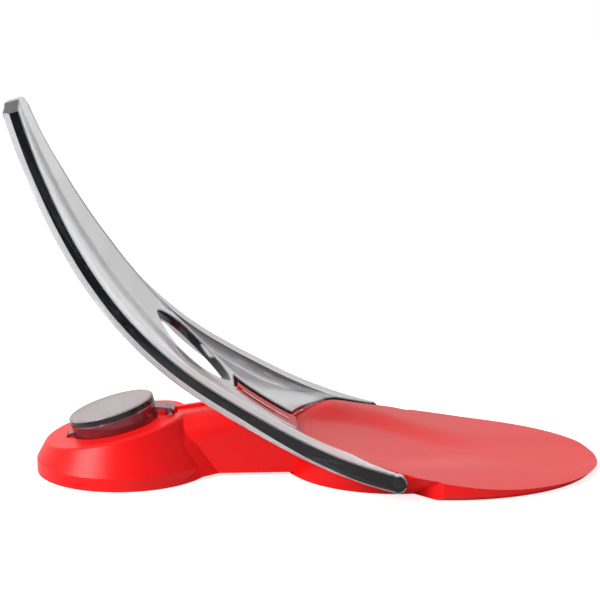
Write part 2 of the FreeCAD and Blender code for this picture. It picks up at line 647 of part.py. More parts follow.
def blade():
    return slab(blade_outline(0.0), BLADE_THICK / 2).cut(
        blade_pins(BLADE_PIN_RADIUS, RIB_HALF_WIDTH))


def revolved(profile):
    """Solid of revolution about Z from (radius, height) points."""
    face = Part.Face(polygon([V(r, 0, z) for r, z in profile]))
    return face.revolve(V(0, 0, 0), Z_AXIS, 360)


def piercer_lid():
    """See-through cup-shaped lid with a hinge tab and a finger edge."""
    inner = LID_RADIUS - LID_WALL
    cup = revolved(((0, 0), (LID_RADIUS - LID_EDGE, 0), (LID_RADIUS, -LID_EDGE),
                    (LID_RADIUS, -LID_HEIGHT), (inner, -LID_HEIGHT),
                    (inner, -LID_TOP - 0.8), (inner - 0.8, -LID_TOP), (0, -LID_TOP)))
    finger = Part.makeBox(FINGER_REACH + LID_WALL / 2, 2 * FINGER_HALF_WIDTH, 1.6,
                          V(-LID_RADIUS - FINGER_REACH, -FINGER_HALF_WIDTH, -LID_HEIGHT + 1.4))
    cup = lid_place(cup.fuse(finger))
    root = lid_place(Part.Vertex(inner + 0.6, 0, -3.6)).Point
    low = lid_place(Part.Vertex(inner + 0.6, 0, -3.6 - TAB_THICK)).Point
    tab = slab(((root.x, root.z), (LID_PIN_X, LID_PIN_Z + KNUCKLE_RADIUS),
                (LID_PIN_X, LID_PIN_Z + KNUCKLE_RADIUS - TAB_THICK), (low.x, low.z)),
               TAB_HALF_WIDTH)
    knuckle = lid_pin_line(KNUCKLE_RADIUS, TAB_HALF_WIDTH)
    hole = lid_pin_line(LID_PIN_RADIUS + RUNNING_GAP, TAB_HALF_WIDTH + 1)
    return cup.fuse([tab, knuckle]).cut(hole).removeSplitter()


def piercer_dish():
    """Shallow cup that centres the egg round the needle."""
    floor = -LID_HEIGHT - LID_FLOOR_GAP
    top = floor + DISH_HEIGHT
    disc = revolved(((0, floor), (DISH_RADIUS, floor), (DISH_RADIUS, top - 0.6),
                     (DISH_RADIUS - 0.6, top), (0, top)))
    stud = Part.makeCylinder(STUD_RADIUS, 4.0, V(0, 0, floor - 4.0))
    radius = (DISH_RADIUS ** 2 - 4 + DISH_HOLLOW ** 2) / (2 * DISH_HOLLOW)
    hollow = Part.makeSphere(radius, V(0, 0, top - DISH_HOLLOW + radius))
    bore = Part.makeCylinder(NEEDLE_RADIUS, 8, V(0, 0, floor - 4.0))
    return lid_place(disc.fuse(stud).cut([hollow, bore]))


def needle():
    floor = -LID_HEIGHT - LID_FLOOR_GAP
    tip = floor + NEEDLE_REACH
    return lid_place(revolved(((0, floor - 4.0), (NEEDLE_RADIUS, floor - 4.0),
                               (NEEDLE_RADIUS, tip - 2.4), (0.12, tip), (0, tip))))


def cover(x, radius, screws, pads):
    """Bottom cover with screw holes, sunk screw heads and pad seats."""
    disc = Part.makeCylinder(radius - COVER_GAP, COVER_THICK, V(x, 0, SHELL_BOTTOM))
    cuts = []
    for sx, sy in screws:
        cuts.append(Part.makeCylinder(SCREW_RADIUS + 0.15, 10, V(sx, sy, 0)))
        cuts.append(Part.makeCylinder(SCREW_HEAD_RADIUS + 0.2, SCREW_HEAD_HEIGHT,
                                      V(sx, sy, SHELL_BOTTOM)))
    for px, py in pads:
        cuts.append(Part.makeCylinder(PAD_RADIUS, PAD_SINK, V(px, py, SHELL_BOTTOM)))
    return disc.cut(cuts)


def screw(x, y):
    """Self-tapping screw with a sunk flat head and a cross recess."""
    head = Part.makeCylinder(SCREW_HEAD_RADIUS, SCREW_HEAD_HEIGHT, V(x, y, SHELL_BOTTOM))
    shank = Part.makeCylinder(SCREW_RADIUS, SCREW_LENGTH - 0.5,
                              V(x, y, SHELL_BOTTOM + SCREW_HEAD_HEIGHT - 0.7))
    bars = [box(x - 1.5, x + 1.5, y - 0.3, y + 0.3, 0, SHELL_BOTTOM + 0.7),
            box(x - 0.3, x + 0.3, y - 1.5, y + 1.5, 0, SHELL_BOTTOM + 0.7)]
    return head.fuse(shank).cut(bars)


def pad(x, y):
    """Rubber foot pad with a chamfered lower edge."""
    shape = revolved(((0, 0), (PAD_RADIUS - 0.4, 0), (PAD_RADIUS, 0.4),
                      (PAD_RADIUS, PAD_HEIGHT), (0, PAD_HEIGHT)))
    shape.translate(V(x, y, 0))
    return shape


def all_nodes():
    nodes = {
        "base_shell": base_shell(),
        "lever": lever(),
        "hinge_pin_left": hinge_pin(1),
        "hinge_pin_right": hinge_pin(-1),
        "blade": blade(),
        "piercer_lid": piercer_lid(),
        "lid_pin": lid_pin_line(LID_PIN_RADIUS, LID_PIN_HALF_LENGTH),
        "piercer_dish": piercer_dish(),
        "needle": needle(),
        "cover_left": cover(PEDESTAL_L_X, cover_radius_left(), SCREWS_L, PADS_L),
        "cover_right": cover(PEDESTAL_R_X, cover_radius_right(), SCREWS_R, PADS_R),
    }
    for i, shape in enumerate(blade_pins(BLADE_PIN_RADIUS, RIB_HALF_WIDTH), 1):
        nodes["blade_pin_%d" % i] = shape
    for i, (x, y) in enumerate(SCREWS_L + SCREWS_R, 1):
        nodes["screw_%d" % i] = screw(x, y)
    for i, (x, y) in enumerate(PADS_L + PADS_R, 1):
        nodes["pad_%d" % i] = pad(x, y)
    return nodes


os.makedirs("parts", exist_ok=True)
for name, shape in all_nodes().items():
    shape.exportStep("parts/%s.step" % name)
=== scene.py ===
"""Looks of the egg slicer: glossy red base, see-through smoke lever and lid, steel blade."""
import math

import bmesh
import bpy
import numpy as np
from mathutils import Euler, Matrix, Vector
from mathutils.geometry import delaunay_2d_cdt


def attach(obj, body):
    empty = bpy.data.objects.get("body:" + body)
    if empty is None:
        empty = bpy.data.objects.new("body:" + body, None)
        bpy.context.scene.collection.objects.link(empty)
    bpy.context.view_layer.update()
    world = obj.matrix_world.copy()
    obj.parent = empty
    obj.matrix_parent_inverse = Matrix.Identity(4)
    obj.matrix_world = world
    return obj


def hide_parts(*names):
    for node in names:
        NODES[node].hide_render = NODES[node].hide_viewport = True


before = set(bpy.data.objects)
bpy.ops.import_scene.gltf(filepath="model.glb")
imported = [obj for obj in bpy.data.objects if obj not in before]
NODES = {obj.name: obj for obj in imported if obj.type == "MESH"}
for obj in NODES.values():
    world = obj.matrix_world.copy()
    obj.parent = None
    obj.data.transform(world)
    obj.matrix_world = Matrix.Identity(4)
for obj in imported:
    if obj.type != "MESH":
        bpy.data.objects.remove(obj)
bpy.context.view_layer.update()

MM = 0.001                   # shapes are in millimetres and degrees, light and camera in metres

# ---- colours and finishes ------------------------------------------------------------------
PLASTIC_IOR = 1.5
NOISE_DETAIL = 3.0
RED_DARK = (0.88, 0.004, 0.005)
RED_BRIGHT = (0.94, 0.006, 0.007)
RED_MOTTLE = 30.0            # scale of the red's faint unevenness
RED_ROUGH, RED_GLOSS = 0.35, 0.26
SMOKE_MOTTLE = 40.0          # scale of the smoke plastic's faint unevenness
COAT_ROUGH = 0.15
PANE = (0.9, 0.9, 0.9, 1.0)  # what passing through smoke plastic leaves of a lamp's light
SMOKE = (0.10, 0.11, 0.14)   # colour that the lever's plastic takes on with depth
# material numbers of the skin: faces, side walls, bevel under the rails, end face of the tip; the
# walls and end face wear painted shade, the bevel a painted highlight
CLEAR, WALL, CHAMFER, TIP = 0, 1, 2, 3
LEVER_LOOKS = (
    dict(name="lever_smoke", tint=SMOKE, depth=62.0, dark=(0.92, 0.92, 0.93),
         pale=(0.97, 0.97, 0.98), rough=0.40, clear=0.85, coat=1.0),
    # side walls: near-black painted shade for the dark look of the plastic seen edge-on
    dict(name="lever_wall_painted_shade", tint=SMOKE, depth=30.0, dark=(0.006, 0.007, 0.012),
         pale=(0.012, 0.013, 0.020), rough=0.12, gloss=0.25),
    # bevel under the rails: pale and partly matt, a painted highlight
    dict(name="lever_edge_painted_highlight", tint=SMOKE, depth=5.0, dark=(0.96, 0.94, 0.97),
         pale=(1.0, 0.99, 1.0), rough=0.2, clear=0.65),
    # end face of the tip: dark grey painted shade
    dict(name="lever_tip_painted_shade", tint=SMOKE, depth=30.0, dark=(0.10, 0.10, 0.11),
         pale=(0.30, 0.30, 0.31), rough=0.15))
LID_X, LID_Z = -70.4, 22.5   # centre of the lid's top
LID_TILT, LID_HEIGHT = 16.0, 8.0
LID_TINT, LID_DEPTH = (0.10, 0.10, 0.12), 25.0
LID_CLEAR, LID_GLOSS = 0.8, 0.35
# bands of the lid by height: the wall's wine tint stands in for the red seen through it, the
# black rim is painted shade and the pale top a painted reflection of the bright surroundings
LID_WALL_PAINTED_SEE_THROUGH = (0.34, 0.07, 0.09)
LID_RIM_PAINTED_SHADE = (0.004, 0.004, 0.005)
LID_TOP_PAINTED_REFLECTION = (1.0, 0.97, 0.97)
# share of the lid's height, and the colour or roughness from there
LID_COLOURS = ((0.0, LID_WALL_PAINTED_SEE_THROUGH), (0.66, LID_WALL_PAINTED_SEE_THROUGH), (0.72, LID_RIM_PAINTED_SHADE), (0.92, LID_RIM_PAINTED_SHADE),
               (0.96, LID_TOP_PAINTED_REFLECTION))
LID_ROUGHS = ((0.0, 0.05), (0.92, 0.05), (0.98, 0.32))
SCREWS = ["screw_%d" % i for i in range(1, 7)]
PADS = ["pad_%d" % i for i in range(1, 7)]
# look, colour, roughness, metallic, the CAD nodes that wear it
FINISHES = (
    ("steel_look", (0.62, 0.63, 0.64), 0.15, 1.0,
     ["blade", "blade_pin_1", "blade_pin_2", "lid_pin", "needle"] + SCREWS),
    # hinge pins: dark wine, painted shade so the rail's round end reads dark as in shade
    ("pin_painted_shade", (0.035, 0.012, 0.014), 0.3, 0.0, ["hinge_pin_left", "hinge_pin_right"]),
    ("dish_look", (0.55, 0.02, 0.025), 0.4, 0.0, ["piercer_dish"]),
    ("cover_look", (0.6, 0.015, 0.015), 0.35, 0.0, ["cover_left", "cover_right"]),
    ("rubber_look", (0.03, 0.03, 0.03), 0.6, 0.0, PADS))
GRAIN = 400.0                # scale of the fine specks in these finishes
SPECK_SHADE = 0.85           # share of the colour that the dark specks have
SPECK_ROUGH = 0.15           # roughness that the pale specks add

# ---- shape of the lever --------------------------------------------------------------------
HINGE_X, HINGE_Z = 25.2, 7.0
HINGE_ANGLE = 13.1           # where on the arc the hinge pins are
ARC_TOP = 168.0              # radius of the rail tops
RAIL_DEPTH = 5.8
FLOOR_DEPTH = 3.4
FILLET = 1.0                 # width of the fillet inside a rail, besides the valley's depth
SKIRT_LEAD, SKIRT_RUN = 1.2, 2.0   # where the underside turns down to a rail, and over what width
EYE_RADIUS = 3.08            # rounded ends that turn about the hinge
TIP_ANGLE = 74.9
TIP_CORNER = (9.5, 3.136)    # cut corners of the tip: across, along
TIP_FACE_SPAN = 1.0          # walls this near to the tip's angle are its end face
TOP_EDGE = 0.45              # rounding of the upper edges
LOW_EDGE = 2.4               # chamfer under the outer side of the rails
CHAMFER_ANGLES = (17.0, 32.0)   # between these it grows from TOP_EDGE to LOW_EDGE
HOLE_EDGE = 0.35             # rounding under the other edges
EDGE_SHARE = 0.45            # most of the thickness that one rounding may take
WINDOW_ANGLE = 44.95         # upper end of the egg window
SLOT_ANGLE, SLOT_HALF_WIDTH = 32.5, 10.0
BORE_RADIUS, BORE_LENGTH, BORE_END = 1.56, 8.0, 47.4   # BORE_END is its outer end, across
BORE_SEGMENTS = 48
SHARP_ANGLE = 28.0           # steeper bends of the skin are shaded as edges
# underside of the floor where it reaches over the scoop: across, height
LIP = ((10.0, 14.0, 16.0, 20.0, 30.0), (13.6, 13.95, 14.08, 14.25, 14.75))
SCOOP = (46.75, 54.85, 47.8)   # centre x, half length, half width of the scoop outline
SCOOP_MARGIN = 1.7           # the lip starts this far outside that outline
# where the fork's inner edge runs outside the scoop outline: across, distance
FORK_GAP = ((27.0, 31.4, 34.2, 38.0), (-0.4, 0.2, 1.0, 1.75))
FORK_END_TURN, FORK_POINTS = 75.0, 90   # furthest turn round the outline, points up to there
FORK_SEARCH = (5.0, 40.0)    # range of angles in which the fork's inner edge lies
FORK_FLARE = 0.05            # widening of the fork's inner edge at its very end
# angle, half width, rail band, crease half width, crease rise, valley drop, lift off the arc,
# extra floor thickness, width of the full-depth rail underneath
STATIONS = np.array((
    (74.9, 15.0, 1.0, 8.0, 0.2, 0.0, 0.0, 2.2, 3.4),
    (71.0, 19.8, 1.0, 11.0, 0.9, 0.0, 0.5, 2.0, 4.4),
    (65.0, 26.4, 1.0, 15.5, 1.9, 0.0, 0.8, 0.5, 6.0),
    (60.0, 31.9, 1.0, 19.0, 2.5, 0.0, 0.6, 0.0, 7.4),
    (55.0, 36.8, 1.0, 21.5, 2.9, 0.0, 0.3, 0.0, 8.5),
    (50.0, 40.3, 1.5, 22.8, 2.8, 0.0, 0.0, 0.0, 9.0),
    (47.0, 41.6, 3.5, 23.2, 2.3, 0.1, 0.0, 0.0, 9.2),
    (45.0, 42.3, 6.5, 23.4, 1.9, 0.4, 0.0, 0.0, 9.3),
    (42.5, 42.9, 9.0, 23.4, 1.3, 1.3, 0.1, 0.0, 9.5),
    (40.0, 43.4, 9.6, 23.2, 0.6, 2.3, 0.3, 0.0, 9.6),
    (37.0, 44.0, 9.8, 21.4, -0.6, 3.0, 0.7, 0.0, 9.8),
    (34.0, 44.8, 10.0, 17.5, -2.0, 3.4, 1.2, 0.0, 10.0),
    (31.0, 45.7, 10.0, 14.0, -3.6, 3.7, 1.5, 0.0, 10.0),
    (28.0, 46.6, 10.0, 13.0, -4.4, 4.0, 1.5, 0.0, 10.0),
    (24.0, 47.7, 10.0, 13.0, -5.0, 2.7, 1.1, 0.0, 10.0),
    (20.0, 48.5, 10.0, 13.0, -4.6, 0.4, 0.7, 0.0, 10.0),
    (17.5, 48.9, 10.0, 13.0, -4.0, 0.0, 0.4, 0.0, 10.0),
    (13.1, 49.4, 10.0, 13.0, -3.4, 0.0, 0.0, 0.0, 10.0)))
# egg window: distance below its upper end, half width
WINDOW = ((0.0, 0.0), (1.6, 7.6), (5.2, 14.2), (9.0, 18.6), (13.5, 20.7), (18.0, 20.2),
          (22.4, 18.4), (26.8, 15.2), (30.6, 11.0), (33.6, 5.6), (34.7, 0.0))
ARC_MIDDLE = ARC_TOP + RAIL_DEPTH / 2   # radius on which the hinge pins lie
ARC_X = HINGE_X + ARC_MIDDLE * math.sin(math.radians(HINGE_ANGLE))
ARC_Z = HINGE_Z + ARC_MIDDLE * math.cos(math.radians(HINGE_ANGLE))
EYE_SPAN = math.degrees(EYE_RADIUS / ARC_MIDDLE)
FORK_HALF_WIDTH = STATIONS[-1, 1] - 0.02   # just inside the CAD lever's

# ---- mesh of the lever ---------------------------------------------------------------------
FINE_ANGLES = np.arange(6.0, 82.0, 0.25)
SMOOTH_SPAN = 17             # fine angles over which the stations' corners are smoothed
OUTER, INNER, END = 0, 1, 2  # kinds of edge: rail side, any other edge, round end
TIP_STEP, FORK_STEP, END_STEP = 0.8, 0.7, 0.4   # gaps between border points
SIDE_TURN = 0.35             # angle between border points along a rail's side
EYE_POINTS, CORNER_POINTS = 8, 5     # border points round the end and its corner
WINDOW_STEP = 0.2            # share of a run between window points
HALVINGS = 40                # steps in the search for a point of the fork's inner edge
LOOPS = (0.03, 0.12, 0.25, 0.45, 0.9, 1.4, 1.9, 2.4)   # support loops inside every border
ROWS = np.arange(12.2, 74.8, 0.45)   # angles of the points on the support lines
# support lines from a rail inwards: over its band, its fillet, the slope and the floor
BAND_LINES = (0.33, 0.66, 1.0)
FILLET_LINES = range(15, 91, 15)
SLOPE_LINES = 9
FLOOR_LINES = (0.75, 0.5, 0.25)
LINE_REACH = 0.9             # they go on this far past a border
LOOP_ROOM = 0.97             # share of its distance that a loop keeps from every border
BEVEL_ROOM = 1.02            # share of the chamfer's width that its faces may reach
MITRE = 0.4                  # keeps a support loop from running far out at a sharp corner
CHUNK = 1500                 # points whose distances are worked out at once
MERGE = 1e-3                 # nearer points become one in the flat mesh
WELD, SLIVER = 2e-6, 1e-6    # in metres: nearer points, shorter edges in the finished mesh

# ---- shape of the webs between neck and scoop ----------------------------------------------
SHOULDER_X = (-13.0, 3.0)
SHOULDER_RINGS = 25          # sections along it
SHOULDER_TOP = ((-13.0, -8.0, -5.0, 3.0), (14.6, 12.6, 12.1, 11.9))   # x, height
SHOULDER_REACH = 15.5        # how far it stands out from the neck's side
SHOULDER_SWEEP = 1.4         # it reaches that at 1 / 1.4 of its length
SHOULDER_THICK = 2.0
SHOULDER_BEND = 0.8          # rounding of its outer edge, and the most of its width
SHOULDER_BEND_SHARE = 0.9    # that this may take
SHOULDER_SINK = (0.7, 1.0)   # how deep it goes into the neck, and into the scoop's wall
SHOULDER_SHARP = 35.0        # steeper bends of a web are shaded as edges
NECK_SIDE = 13.7             # half width of the neck

# ---- light and camera ----------------------------------------------------------------------
AMBIENT = 0.32               # light that the world casts on matt surfaces
FRONT_LIGHT = 0.2            # mirrored light from straight ahead of the object
BACK_LIGHT = 1.0             # mirrored light from above and behind it
FRONT_DARK = (-0.7, 0.1)     # front to back, the directions between which it brightens
FLOOR_REACH = 6.0
FLOOR_GREY = (0.8, 0.8, 0.8, 1.0)
FLOOR_GLOW = 0.75            # makes the floor white where it is seen
LAMP_AT, LAMP_AIM = (-0.95, -0.55, 0.85), (0.0, 0.0, 0.03)
LAMP_SIZE, LAMP_POWER = 0.7, 19.0
CAMERA_AT = (-0.0383, -0.5952, 0.1786)
CAMERA_TILT, CAMERA_TURN = 78.67, -3.29
CAMERA_LENS, CAMERA_SENSOR, CAMERA_NEAR = 105.0, 36.0, 0.01


# ---- small helpers for shader nodes --------------------------------------------------------
def new_material(name):
    """Material with a Principled shader; returns (material, nodes, links, principled)."""
    mat = bpy.data.materials.new(name)
    mat.use_nodes = True
    nodes = mat.node_tree.nodes
    links = mat.node_tree.links
    nodes.clear()
    out = nodes.new("ShaderNodeOutputMaterial")
    shader = nodes.new("ShaderNodeBsdfPrincipled")
    links.new(shader.outputs[0], out.inputs["Surface"])
    return mat, nodes, links, shader


def put(links, socket, value):
    """Set a socket to a number or colour, or link it to another socket."""
    if isinstance(value, bpy.types.NodeSocket):
        links.new(value, socket)
    else:
        socket.default_value = value


def math_node(nodes, links, kind, a, b, c=0.0):
    """Result of one sum on sockets or numbers."""
    node = nodes.new("ShaderNodeMath")
    node.operation = kind
    put(links, node.inputs[0], a)
    put(links, node.inputs[1], b)
    put(links, node.inputs[2], c)
    return node.outputs[0]


def ramp(nodes, links, value, stops):
    """Smooth ramp through (position, grey or colour) stops; value is already 0 to 1."""
    node = nodes.new("ShaderNodeValToRGB")
    node.color_ramp.interpolation = "EASE"
    elements = node.color_ramp.elements
    while len(elements) < len(stops):
        elements.new(0.5)
    for element, stop in zip(elements, stops):
        element.position = stop[0]
    for element, stop in zip(elements, stops):
        grey_or_colour = stop[1]
        if not hasattr(grey_or_colour, "__len__"):
            grey_or_colour = (grey_or_colour,) * 3
        element.color = (*grey_or_colour, 1.0)
    put(links, node.inputs[0], value)
    return node.outputs[0]


def scaled(nodes, links, value, low, high):
    """Value from low..high to 0..1, clamped."""
    node = nodes.new("ShaderNodeMapRange")
    put(links, node.inputs["Value"], value)
    node.inputs["From Min"].default_value = low
    node.inputs["From Max"].default_value = high
    return node.outputs[0]


def mix_colour(nodes, links, factor, a, b):
    """Colour between a and b."""
    node = nodes.new("ShaderNodeMix")
    node.data_type = "RGBA"
    put(links, node.inputs[0], factor)
    put(links, node.inputs[6], (*a, 1.0))
    put(links, node.inputs[7], (*b, 1.0))
    return node.outputs[2]


def coordinates(nodes, kind):
    """Vector socket with texture coordinates; "Object" ones are in metres."""
    return nodes.new("ShaderNodeTexCoord").outputs[kind]


def split_vector(nodes, links, vector):
    """The vector's sockets "X", "Y" and "Z"."""
    node = nodes.new("ShaderNodeSeparateXYZ")
    links.new(vector, node.inputs[0])
    return node.outputs


def noise(nodes, links, scale):
    """Noise from 0 to 1, fixed to the piece."""
    node = nodes.new("ShaderNodeTexNoise")
    put(links, node.inputs["Vector"], coordinates(nodes, "Object"))
    node.inputs["Scale"].default_value = scale
    node.inputs["Detail"].default_value = NOISE_DETAIL
    return node.outputs[0]


# ---- materials -----------------------------------------------------------------------------
def red_plastic():
    """Glossy injection-moulded red, very faintly uneven."""
    mat, nodes, links, shader = new_material("red_plastic_look")
    mottled = noise(nodes, links, RED_MOTTLE)
    put(links, shader.inputs["Base Color"],
        mix_colour(nodes, links, mottled, RED_DARK, RED_BRIGHT))
    shader.inputs["Roughness"].default_value = RED_ROUGH
    shader.inputs["IOR"].default_value = PLASTIC_IOR
    shader.inputs["Specular IOR Level"].default_value = RED_GLOSS
    return mat


def clear_plastic(name, tint, depth, clear, gloss):
    """Clear plastic that darkens with its thickness; depth is its absorption per metre."""
    mat, nodes, links, shader = new_material(name)
    shader.inputs["Transmission Weight"].default_value = clear
    shader.inputs["IOR"].default_value = PLASTIC_IOR
    shader.inputs["Specular IOR Level"].default_value = gloss
    out = next(node for node in nodes if node.type == "OUTPUT_MATERIAL")
    inside = nodes.new("ShaderNodeVolumeAbsorption")
    inside.inputs["Color"].default_value = (*tint, 1.0)
    inside.inputs["Density"].default_value = depth
    links.new(inside.outputs[0], out.inputs["Volume"])
    let_lamps_through(nodes, links, shader, out)
    return mat, nodes, links, shader


def let_lamps_through(nodes, links, shader, out):
    """Shadow rays pass the plastic as through a pale pane, so its shadow isn't black."""
    pane = nodes.new("ShaderNodeBsdfTransparent")
    pane.inputs[0].default_value = PANE
    path = nodes.new("ShaderNodeLightPath")
    mix = nodes.new("ShaderNodeMixShader")
    links.new(path.outputs["Is Shadow Ray"], mix.inputs[0])
    links.new(shader.outputs[0], mix.inputs[1])
    links.new(pane.outputs[0], mix.inputs[2])
    links.new(mix.outputs[0], out.inputs["Surface"])


def smoke(name, tint, depth, dark, pale, rough, clear=1.0, gloss=0.5, coat=0.0):
    """Smoke plastic of one part of the lever, faintly uneven between two colours."""
    mat, nodes, links, shader = clear_plastic(name, tint, depth, clear, gloss)
    faint = noise(nodes, links, SMOKE_MOTTLE)
    put(links, shader.inputs["Base Color"], mix_colour(nodes, links, faint, dark, pale))
    shader.inputs["Roughness"].default_value = rough
    shader.inputs["Coat Weight"].default_value = coat
    shader.inputs["Coat Roughness"].default_value = COAT_ROUGH
    return mat


def lid_smoke_painted_light():
    """Smoke plastic of the lid: pale matt top as a painted reflection, black rim below it as
    painted shade, and a wall tinted wine for the red seen through it.
    """
    mat, nodes, links, shader = clear_plastic("lid_smoke_painted_light", LID_TINT, LID_DEPTH, LID_CLEAR,
                                              LID_GLOSS)
    place = split_vector(nodes, links, coordinates(nodes, "Object"))
    tilt = math.radians(LID_TILT)
    height = math_node(nodes, links, "MULTIPLY_ADD", place["X"], -math.sin(tilt),
                       (LID_X * math.sin(tilt) - LID_Z * math.cos(tilt)) * MM)
    height = math_node(nodes, links, "MULTIPLY_ADD", place["Z"], math.cos(tilt), height)
    level = scaled(nodes, links, height, -LID_HEIGHT * MM, 0.0)
    put(links, shader.inputs["Base Color"], ramp(nodes, links, level, LID_COLOURS))
    put(links, shader.inputs["Roughness"], ramp(nodes, links, level, LID_ROUGHS))
    return mat


def plain(name, colour, rough, metallic):
    """Finish of a small piece, with fine specks in its colour and roughness."""
    mat, nodes, links, shader = new_material(name)
    speck = noise(nodes, links, GRAIN)
    dark = tuple(SPECK_SHADE * c for c in colour)
    put(links, shader.inputs["Base Color"], mix_colour(nodes, links, speck, dark, colour))
    put(links, shader.inputs["Roughness"],
        math_node(nodes, links, "MULTIPLY_ADD", speck, SPECK_ROUGH, rough))
    shader.inputs["Metallic"].default_value = metallic
    return mat


def dress(names, mat):
    """Give CAD nodes a material."""
    for name in names:
        for slot in NODES[name].material_slots:
            slot.link = "OBJECT"
            slot.material = mat


# ---- surfaces of the lever, as radii about the arc's centre --------------------------------
def fine_stations():
    """The stations at the fine angles, with their corners smoothed."""
    window = np.hanning(SMOOTH_SPAN)
    window /= window.sum()
    columns = []
    for column in STATIONS.T[1:]:
        fine = np.interp(FINE_ANGLES, STATIONS[::-1, 0], column[::-1])
        padded = np.pad(fine, SMOOTH_SPAN // 2, mode="edge")
        columns.append(np.convolve(padded, window, mode="valid"))
    columns[0] = np.minimum(columns[0], FORK_HALF_WIDTH)
    return columns


FINE_STATIONS = fine_stations()


def station(angle):
    """Half width, band, crease, rise, valley, lift, extra and skirt at angles."""
    return [np.interp(angle, FINE_ANGLES, column) for column in FINE_STATIONS]


def half_width(angle):
    """Half width of the lever at one angle."""
    return float(station(angle)[0])


def wall_run(valley):
    """Width of the fillet between a rail and the slope beside it."""
    return FILLET + valley


def floor_climb(across, foot, crease, rise, valley):
    """How far the floor has come from the foot of the fillet (0) to the crease (1)."""
    climb = np.clip((foot - across) / (foot - crease), 0.0, 1.0)
    return np.where(rise + valley > 0, climb ** 2, climb)


def top_rise(angle, y):
    """Height of the upper face over the rail tops: rail, fillet, slope, crease and floor."""
    wide, band, crease, rise, valley = station(angle)[:5]
    across = np.abs(y)
    inner = wide - band
    foot = inner - wall_run(valley)
    down = np.clip((inner - across) / wall_run(valley), 0.0, 1.0)
    climb = floor_climb(across, foot, crease, rise, valley)
    return (rise + valley) * climb - valley * np.sqrt(1.0 - (1.0 - down) ** 2)


def eye_half(angle):
    """Half thickness of the rounded end that turns about the hinge, up to a rail's."""
    run = np.radians(HINGE_ANGLE - angle) * ARC_MIDDLE
    half = np.sqrt(np.maximum(EYE_RADIUS ** 2 - np.maximum(run, 0.0) ** 2, 0.0))
    return np.minimum(half, RAIL_DEPTH / 2)


def top_radius(angle, y):
    """Radius of the upper face."""
    lift = station(angle)[5]
    radius = ARC_TOP - lift - top_rise(angle, y)
    return np.where(angle < HINGE_ANGLE, ARC_MIDDLE - eye_half(angle), radius)


def low_radius(angle, y):
    """Radius of the underside: thin floor in the middle, full depth under the rails."""
    wide, band, crease, rise, valley, lift, extra, skirt = station(angle)
    across = np.abs(y)
    foot = wide - band - wall_run(valley)
    climb = floor_climb(across, foot, crease, rise, valley)
    floor = FLOOR_DEPTH + extra + valley - (rise + valley) * climb
    share = np.clip((across - wide + skirt + SKIRT_LEAD) / SKIRT_RUN, 0.0, 1.0)
    share = (3 - 2 * share) * share ** 2
    radius = ARC_TOP - lift + floor + (RAIL_DEPTH - floor) * share
    radius = np.where(angle < HINGE_ANGLE, ARC_MIDDLE + eye_half(angle), radius)
    return over_scoop(angle, y, radius)


def over_scoop(angle, y, radius):
    """Lift the underside to the lip height wherever it would stand over the scoop."""
    x = ARC_X - radius * np.sin(np.radians(angle))
    z = ARC_Z - radius * np.cos(np.radians(angle))
    centre, long_half, wide_half = SCOOP
    reach = np.hypot((x - centre) / (long_half + SCOOP_MARGIN), y / (wide_half + SCOOP_MARGIN))
    lip = np.interp(np.abs(y), *LIP)
    level = (ARC_Z - lip) / np.cos(np.radians(angle))
    return np.where((reach < 1.0) & (z < lip), np.minimum(radius, level), radius)


# ---- borders of the lever, as chains of (angle, y) points ----------------------------------
def along(angle):
    """Length along the rail tops at an angle."""
    return ARC_TOP * np.radians(angle)


def spaced(points, step):
    """A chain filled in with gaps of about the step, without its last point."""
    chain = []
    for (a, y), (b, w) in zip(points, points[1:]):
        count = max(1, int(math.hypot(along(b - a), w - y) / step + 0.5))
        chain += [(a + (b - a) * i / count, y + (w - y) * i / count) for i in range(count)]
    return chain


def angle_over(x, y):
    """Angle at which the upper face passes over a place, found by halving."""
    near, far = FORK_SEARCH
    for _ in range(HALVINGS):
        middle = (near + far) / 2
        radius = float(top_radius(middle, y))
        if ARC_X - radius * math.sin(math.radians(middle)) > x:
            near = middle
        else:
            far = middle
    return middle


def fork_edge():
    """Where the floor and the fork end, following the scoop outline."""
    centre, long_half, wide_half = SCOOP
    points = []
    first = math.asin(SLOT_HALF_WIDTH / (wide_half + FORK_GAP[1][0]))
    for turn in np.linspace(first, math.radians(FORK_END_TURN), FORK_POINTS):
        gap = float(np.interp(wide_half * math.sin(turn), *FORK_GAP))
        y = (wide_half + gap) * math.sin(turn)
        angle = angle_over(centre - (long_half + gap) * math.cos(turn), y)
        if angle < HINGE_ANGLE - EYE_SPAN:
            break
        points.append((angle, y))
    return points


def tip_edge(corner):
    """The tip's end face and cut corner, up to the angle where the rail side starts."""
    inner = half_width(TIP_ANGLE) - TIP_CORNER[0]
    face = spaced([(TIP_ANGLE, 0.0), (TIP_ANGLE, inner)], TIP_STEP)
    return face + spaced([(TIP_ANGLE, inner), (corner, half_width(corner))], TIP_STEP)


def rail_side(corner, trim):
    """The rail's side from the tip's corner to the round end's rounded corner."""
    angles = list(np.arange(corner, HINGE_ANGLE, -SIDE_TURN))
    turns = [i * math.pi / (2 * EYE_POINTS) for i in range(EYE_POINTS)]
    angles += [HINGE_ANGLE - (EYE_SPAN - trim) * math.sin(turn) for turn in turns]
    return [(a, half_width(a)) for a in angles]


def end_corner(end, trim):
    """The rounded corner between the rail's side and its round end."""
    turns = [i * math.pi / (2 * CORNER_POINTS) for i in range(CORNER_POINTS + 1)]
    return [(end + trim * (1 - math.sin(turn)),
             half_width(end) - TOP_EDGE * (1 - math.cos(turn))) for turn in turns]


